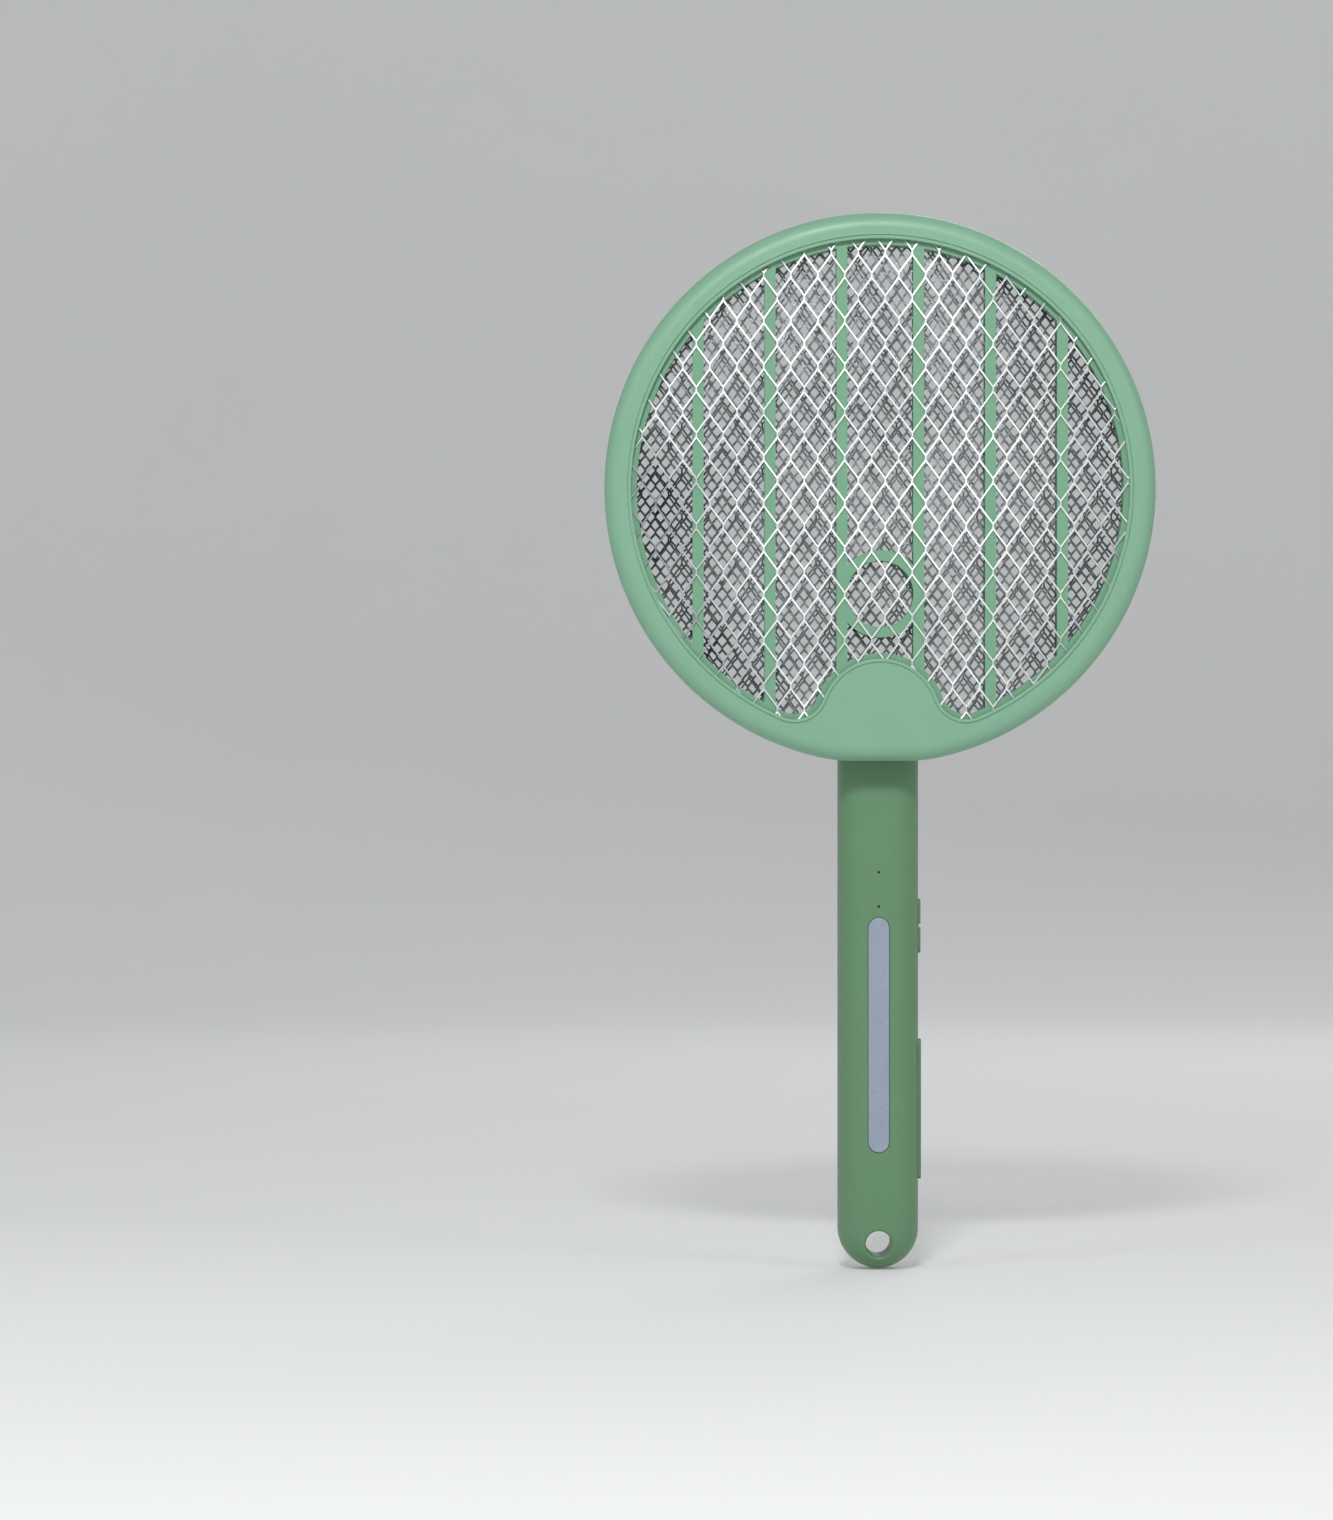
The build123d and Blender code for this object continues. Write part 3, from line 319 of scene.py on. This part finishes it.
def finish_model():
    """Gives each node of the model its finish."""
    head_green = moulded_abs("head_abs_satin", "#7FAD90", "#78A589", roughness=0.42,
                             seam_y=head_seam_y)
    grille_green = moulded_abs("grille_abs_satin", "#73A584", "#6C9D7D", roughness=0.46)
    # Painted shade: the handle's green is a darker copy of the head's plastic, for the shade the handle
    # lies in
    handle_green_painted_shade = moulded_abs("handle_abs_satin_painted_shade", "#618A65", "#5A835F", roughness=0.40,
                               seam_y=handle_seam_y)
    control_green = moulded_abs("control_abs_satin", "#5C8361", "#557B5A", roughness=0.44)
    plated = zinc_steel("zinc_plated_steel", "#C4C8CC", "#9CA1A6")
    nickel = nickel_plate("nickel_plated_strip")
    ivory = natural_nylon("natural_acetal")
    black = moulded_epoxy("black_epoxy", "#1C1D1E", "#101112", roughness=0.55)
    board = circuit_board("green_circuit_board")
    wire_red = wire_vinyl("red_wire_vinyl")
    finishes = {
        "front_rim": head_green,
        "rear_rim": head_green,
        "front_grille": grille_green,
        "rear_grille": grille_green,
        "handle_front_shell": handle_green_painted_shade,
        "handle_rear_shell": handle_green_painted_shade,
        "trigger_key": control_green,
        "mode_slider": control_green,
        "rim_screws": plated,
        "hub_screws": plated,
        "handle_screws": plated,
        "stop_pin": plated,
        "spring_washer": plated,
        "retaining_ring": plated,
        "contact_tabs": nickel,
        "link_pins": nickel,
        "battery_tabs": nickel,
        "usb_socket": nickel,
        "slide_switch": nickel,
        "swivel_hub": ivory,
        "friction_washer": ivory,
        "lamp_diffuser": frosted_polycarbonate("frosted_polycarbonate"),
        "lamp_board": board,
        "main_board": board,
        "uv_leds": moulded_epoxy("led_epoxy", "#EDE7C6", "#DDD3A4", roughness=0.25),
        "indicator_leds": moulded_epoxy("red_led_epoxy", "#D8423A", "#B52E29", roughness=0.25),
        "transformer": moulded_epoxy("sintered_ferrite", "#3A3735", "#2A2826", roughness=0.6),
        "hv_capacitor": moulded_epoxy("dipped_capacitor", "#B4552B", "#93411F", roughness=0.28),
        "rectifier_diodes": black,
        "control_chip": black,
        "tact_switch": black,
        "tact_plunger": black,
        "switch_lever": black,
        "battery_cell": shrunk_sleeve("blue_cell_sleeve"),
        "battery_wires": wire_red,
        "net_wires": wire_red,
        "hub_wires": wire_red,
    }
    for name, material in finishes.items():
        data = nodes[name].data
        data.materials.clear()
        data.materials.append(material)


# ---------------------------------------------------------------- nets
def shape_cell(long_way, short_way, strand, bond, tilt):
    """One cell of a net: a flat six-sided ring of strands in x and y, tilted as slitting leaves it."""
    half_x = short_way / 2
    peak = (long_way - bond) / 2
    bpy.ops.mesh.primitive_circle_add(vertices=6, radius=1, fill_type="NGON", location=(0, 0, 0))
    cell = bpy.context.object
    bpy.ops.object.mode_set(mode="EDIT")
    bpy.ops.mesh.select_all(action="SELECT")
    bpy.ops.transform.resize(value=(half_x / sin(pi / 3), peak, 1))
    bpy.ops.mesh.select_all(action="DESELECT")
    bpy.ops.object.mode_set(mode="OBJECT")
    for vertex in cell.data.vertices:
        vertex.select = abs(vertex.co.x) > half_x / 2
    bpy.ops.object.mode_set(mode="EDIT")
    bpy.ops.transform.resize(value=(1, bond / peak, 1))
    bpy.ops.mesh.select_all(action="SELECT")
    bpy.ops.mesh.inset(thickness=strand / 2, depth=0)
    bpy.ops.mesh.delete(type="FACE")
    bpy.ops.object.mode_set(mode="OBJECT")
    tilt_tips(cell, strand, tilt)
    return cell


def tilt_tips(cell, strand, tilt):
    """Lifts the inner point of a cell's upper tip, and drops that of its lower one."""
    tip_height = max(vertex.co.y for vertex in cell.data.vertices)
    for side in (1, -1):
        bpy.ops.object.mode_set(mode="EDIT")
        bpy.ops.mesh.select_all(action="DESELECT")
        bpy.ops.object.mode_set(mode="OBJECT")
        for vertex in cell.data.vertices:
            reach = vertex.co.y * side
            vertex.select = abs(vertex.co.x) < strand / 4 and 0 < reach < tip_height - weld_reach
        bpy.ops.object.mode_set(mode="EDIT")
        bpy.ops.transform.translate(value=(0, 0, tilt * side))
        bpy.ops.object.mode_set(mode="OBJECT")


def expanded_net(name, node, material, cell, sheet, crossing):
    """Net of expanded metal in the place of a node, with one crossing at a given point."""
    long_way, short_way, strand, bond = cell
    thickness, tilt = sheet
    low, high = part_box(node)
    net = shape_cell(long_way, short_way, strand, bond, tilt)
    columns = ceil(2 * head_radius / short_way) + 2
    rows = ceil(2 * head_radius / long_way) + 2
    net.location = ((crossing[0] + short_way / 2) % short_way - columns // 2 * short_way,
                    crossing[1] % long_way - rows // 2 * long_way, 0)
    repeat(net, (short_way, long_way), (columns, rows))
    between = net.copy()
    between.data = net.data.copy()
    bpy.context.collection.objects.link(between)
    between.location.x += short_way / 2
    between.location.y += long_way / 2
    select_only(net)
    between.select_set(True)
    bpy.ops.object.join()
    bpy.ops.object.transform_apply(location=True)
    net.name = name
    net.data.name = name
    drop_outside(net, head_radius)
    thicken(net, thickness)
    stand_up(net, (low.y + high.y) / 2)
    cut_to_sheet(net, "kill_mesh")
    finish_piece(net, material)
    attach(net, "head")
    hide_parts(node)


def select_only(piece):
    """Makes one piece the selected and active one."""
    bpy.ops.object.select_all(action="DESELECT")
    piece.select_set(True)
    bpy.context.view_layer.objects.active = piece


def repeat(piece, pitch, counts):
    """Rows and columns of a flat piece."""
    for axis in (0, 1):
        offset = [0, 0, 0]
        offset[axis] = pitch[axis]
        array = piece.modifiers.new("rows", "ARRAY")
        array.count = counts[axis]
        array.use_relative_offset = False
        array.use_constant_offset = True
        array.constant_offset_displace = offset
        bpy.ops.object.modifier_apply(modifier=array.name)


def drop_outside(net, radius):
    """Drops the strands that lie outside the head, then welds the rest."""
    bpy.ops.object.mode_set(mode="EDIT")
    bpy.ops.mesh.select_mode(type="FACE")
    bpy.ops.mesh.select_all(action="DESELECT")
    bpy.ops.object.mode_set(mode="OBJECT")
    for face in net.data.polygons:
        face.select = hypot(face.center.x, face.center.y) > radius
    bpy.ops.object.mode_set(mode="EDIT")
    bpy.ops.mesh.delete(type="FACE")
    bpy.ops.mesh.select_all(action="SELECT")
    bpy.ops.mesh.remove_doubles(threshold=weld_reach)
    bpy.ops.mesh.select_mode(type="VERT")
    bpy.ops.object.mode_set(mode="OBJECT")


def thicken(piece, thickness):
    """Gives a sheet its thickness, half to each side."""
    wall = piece.modifiers.new("wall", "SOLIDIFY")
    wall.thickness = thickness
    wall.offset = 0
    bpy.ops.object.modifier_apply(modifier=wall.name)


def stand_up(piece, y):
    """Turns a piece drawn flat about the head's centre upright, and puts it at its depth."""
    piece.rotation_euler = (pi / 2, 0, 0)
    piece.location = (head_x, y, head_z)
    bpy.ops.object.transform_apply(location=True, rotation=True)


def cut_to_sheet(net, node):
    """Trims a net to the outline of a node that is a plain sheet and fills the rim's window."""
    merge_reach = 0.001 * MM
    cutter_depth = 200
    cutter = nodes[node].copy()
    cutter.data = nodes[node].data.copy()
    bpy.context.collection.objects.link(cutter)
    select_only(cutter)
    bpy.ops.object.mode_set(mode="EDIT")
    bpy.ops.mesh.select_all(action="SELECT")
    bpy.ops.mesh.remove_doubles(threshold=merge_reach)
    sheet_y = (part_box(node)[0].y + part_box(node)[1].y) / 2
    bpy.ops.transform.resize(value=(1, cutter_depth, 1), center_override=(0, sheet_y, 0))
    bpy.ops.object.mode_set(mode="OBJECT")
    select_only(net)
    trim = net.modifiers.new("trim", "BOOLEAN")
    trim.operation = "INTERSECT"
    trim.solver = "EXACT"
    trim.object = cutter
    bpy.ops.object.modifier_apply(modifier=trim.name)
    bpy.data.objects.remove(cutter)


def finish_piece(piece, material):
    """Material and shading of a finished piece."""
    piece.data.materials.clear()
    piece.data.materials.append(material)
    select_only(piece)
    bpy.ops.object.shade_smooth_by_angle(angle=smooth_angle)
    piece.select_set(False)


def make_nets():
    """Coarse net in front and behind, fine live net between them.

    The live net comes last, because its node is the cutter of all three and is hidden with it.
    """
    bright = expanded_aluminium("bright_expanded_aluminium", "#FDFEFE", "#D0D6D8",
                                tarnish_and_shade_colour="#757D7F", roughness=0.42)
    dull = expanded_aluminium("dull_expanded_aluminium", "#C2C8C9", "#5E6466",
                              tarnish_and_shade_colour="#3C4345", roughness=0.24)
    expanded_net("front_net", "front_mesh", bright, coarse_cell, coarse_sheet, front_crossing)
    expanded_net("rear_net", "rear_mesh", dull, coarse_cell, coarse_sheet, rear_crossing)
    expanded_net("live_net", "kill_mesh", dull, fine_cell, fine_sheet, live_crossing)


# ---------------------------------------------------------------- studio
def make_camera():
    """Long lens, level, square to the head's face, with the object right of the middle."""
    camera = bpy.data.objects.new("camera", bpy.data.cameras.new("camera"))
    bpy.context.collection.objects.link(camera)
    camera.data.lens = 135
    camera.data.sensor_width = 36
    distance = view_height * camera.data.lens / camera.data.sensor_width
    camera.location = (head_x - view_left, head_seam_y - distance, head_z - view_down)
    camera.rotation_euler = (pi / 2, 0, 0)
    camera.data.clip_start = 0.05
    camera.data.clip_end = 30
    bpy.context.scene.camera = camera


def make_studio_floor():
    """Round seamless floor that sweeps up into a wall on all sides."""
    flat_radius = floor_radius - floor_bend
    bpy.ops.mesh.primitive_circle_add(vertices=96, radius=flat_radius, fill_type="NGON",
                                      location=(0, 0, handle_bottom - floor_gap))
    floor = bpy.context.object
    floor.name = "studio_floor"
    bpy.ops.object.mode_set(mode="EDIT")
    bpy.ops.mesh.select_all(action="SELECT")
    bpy.ops.mesh.select_mode(type="EDGE")
    steps = 12
    reach = flat_radius
    for i in range(steps):
        start = pi / 2 * i / steps
        end = pi / 2 * (i + 1) / steps
        wider = reach + floor_bend * (sin(end) - sin(start))
        bpy.ops.mesh.extrude_edges_move(
            TRANSFORM_OT_translate={"value": (0, 0, floor_bend * (cos(start) - cos(end)))})
        bpy.ops.transform.resize(value=(wider / reach, wider / reach, 1), center_override=(0, 0, 0))
        reach = wider
    bpy.ops.mesh.extrude_edges_move(TRANSFORM_OT_translate={"value": (0, 0, wall_height)})
    bpy.ops.mesh.select_all(action="SELECT")
    bpy.ops.mesh.normals_make_consistent(inside=True)
    bpy.ops.object.mode_set(mode="OBJECT")
    bpy.ops.object.shade_smooth()
    floor.data.materials.append(studio_paper("seamless_paper"))


def make_light(name, place, aim, size, power, tint):
    """Square softbox of a given width and power, aimed at a point."""
    lamp = bpy.data.lights.new(name, "AREA")
    lamp.size = size
    lamp.energy = power
    lamp.color = linear(tint)[:3]
    box = bpy.data.objects.new(name, lamp)
    bpy.context.collection.objects.link(box)
    box.location = place
    box.rotation_euler = (Vector(aim) - Vector(place)).to_track_quat("-Z", "Y").to_euler()


def make_lights():
    """Key softbox in front and above, two wide fills, a back light, and an even pale surround."""
    aim = (head_x, head_seam_y, head_z - 60 * MM)
    upper = head_z + 1.1
    lower = head_z + 0.8
    make_light("key_light", (-0.15, -1.6, upper), aim, size=0.26, power=20, tint="#FFFFFF")
    make_light("left_fill", (-1.5, -1.3, lower), aim, size=0.6, power=4.5, tint="#F4F8FF")
    make_light("right_fill", (1.5, -1.3, lower), aim, size=0.6, power=4.5, tint="#FFFAF2")
    make_light("back_light", (0.6, 1.9, upper), aim, size=1.2, power=10, tint="#FFFFFF")
    world = bpy.data.worlds.new("studio")
    world.use_nodes = True
    world.node_tree.nodes["Background"].inputs["Color"].default_value = linear("#F6F8FA")
    world.node_tree.nodes["Background"].inputs["Strength"].default_value = 0.34
    bpy.context.scene.world = world
    bpy.context.scene.view_settings.view_transform = "Standard"


make_camera()
finish_model()
make_nets()
make_studio_floor()
make_lights()
